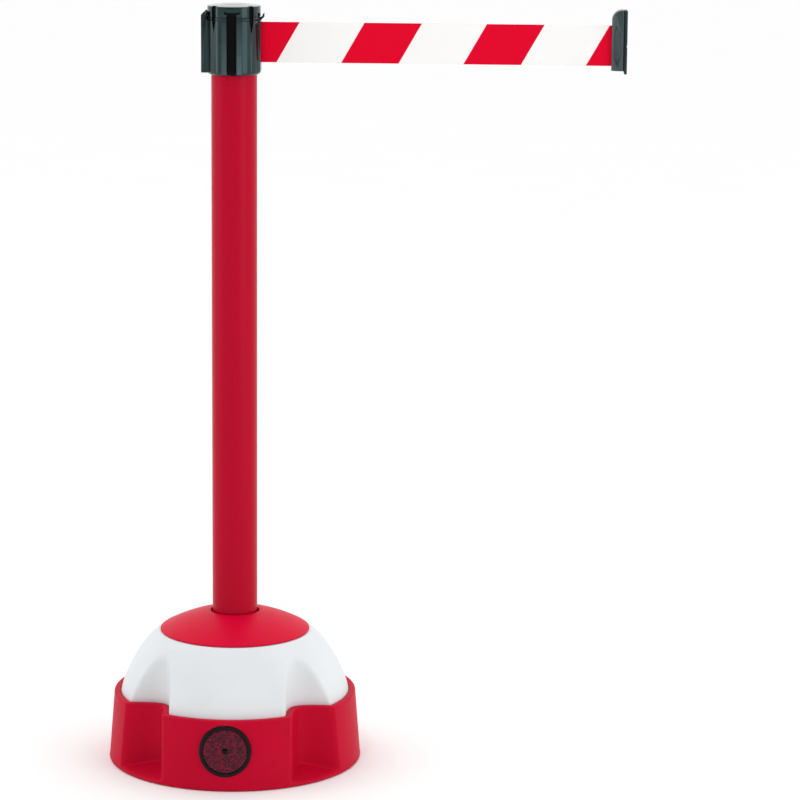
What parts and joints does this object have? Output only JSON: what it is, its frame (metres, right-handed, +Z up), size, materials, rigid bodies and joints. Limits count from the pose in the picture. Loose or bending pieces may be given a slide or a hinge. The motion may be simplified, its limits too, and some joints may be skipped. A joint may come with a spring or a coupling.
{
  "type": "traffic barrier",
  "caption": "Belt barrier post with a weighted fluted base, round reflectors, a tube post and a receiver head with a retracting striped belt.",
  "frame": {"origin": "centre of the flat underside, on the post's axis", "axes": "+Z up along the post, +X along the belt as it is pulled out, -Y out of the front reflector"},
  "size_m": [0.6468, 0.322, 0.965],
  "materials": {
    "red_plastic": "satin",
    "post_red": "satin",
    "white_plastic": "matte",
    "black_plastic": "satin",
    "grey_plastic": "matte",
    "reflector_lens": "gloss",
    "steel": "satin",
    "spring_steel": "satin",
    "concrete": "matte",
    "striped_webbing": "matte"
  },
  "bodies": {
    "root": {"base_ring": "red_plastic", "base_plate": "grey_plastic", "plate_screw_1": "steel", "plate_screw_2": "steel", "plate_screw_3": "steel", "plate_screw_4": "steel", "dome_shell": "white_plastic", "ballast": "concrete", "socket_sleeve": "grey_plastic", "clamp_bolt": "steel", "clamp_nut": "steel", "cap_disc": "red_plastic", "front_reflector_bezel": "black_plastic", "front_reflector_lens": "reflector_lens", "front_reflector_screw": "black_plastic", "rear_reflector_bezel": "black_plastic", "rear_reflector_lens": "reflector_lens", "rear_reflector_screw": "black_plastic", "foot_plug": "grey_plastic", "post_tube": "post_red", "head_insert": "grey_plastic", "head_body": "black_plastic", "head_cap": "black_plastic", "outlet_frame": "black_plastic", "spindle": "steel", "spindle_nut": "steel", "spring_cup": "grey_plastic", "spring_cup_lid": "grey_plastic", "power_spring": "spring_steel", "cover_plate": "grey_plastic", "guide_pin_rear": "steel", "guide_pin_front": "steel"},
    "spool": {"spool": "grey_plastic", "spool_bush_lower": "steel", "spool_bush_upper": "steel", "belt_roll": "striped_webbing"},
    "belt_end": {"belt": "striped_webbing", "belt_end_body": "black_plastic", "belt_end_slider": "black_plastic", "belt_end_screw_lower": "steel", "belt_end_screw_upper": "steel", "belt_pin": "steel"},
    "latch": {"belt_end_latch": "black_plastic"}
  },
  "joints": [
    {"name": "belt_pull", "type": "slide", "parent": "root", "child": "belt_end", "axis": [1, 0, 0], "range_m": [-0.4275, 2.56], "deforming": ["belt"]},
    {"name": "spool_spin", "type": "hinge", "parent": "root", "child": "spool", "pos_m": [0, 0, 0.917], "axis": [0, 0, 1], "range_deg": [-6770, 1135]},
    {"name": "latch_press", "type": "slide", "parent": "belt_end", "child": "latch", "axis": [1, 0, 0], "range_m": [-0.0015, 0], "stiffness_N_per_m": 400}
  ],
  "couplings": [
    {"joint": "spool_spin", "follows": "belt_pull", "rad_per_m": -46.08}
  ]
}
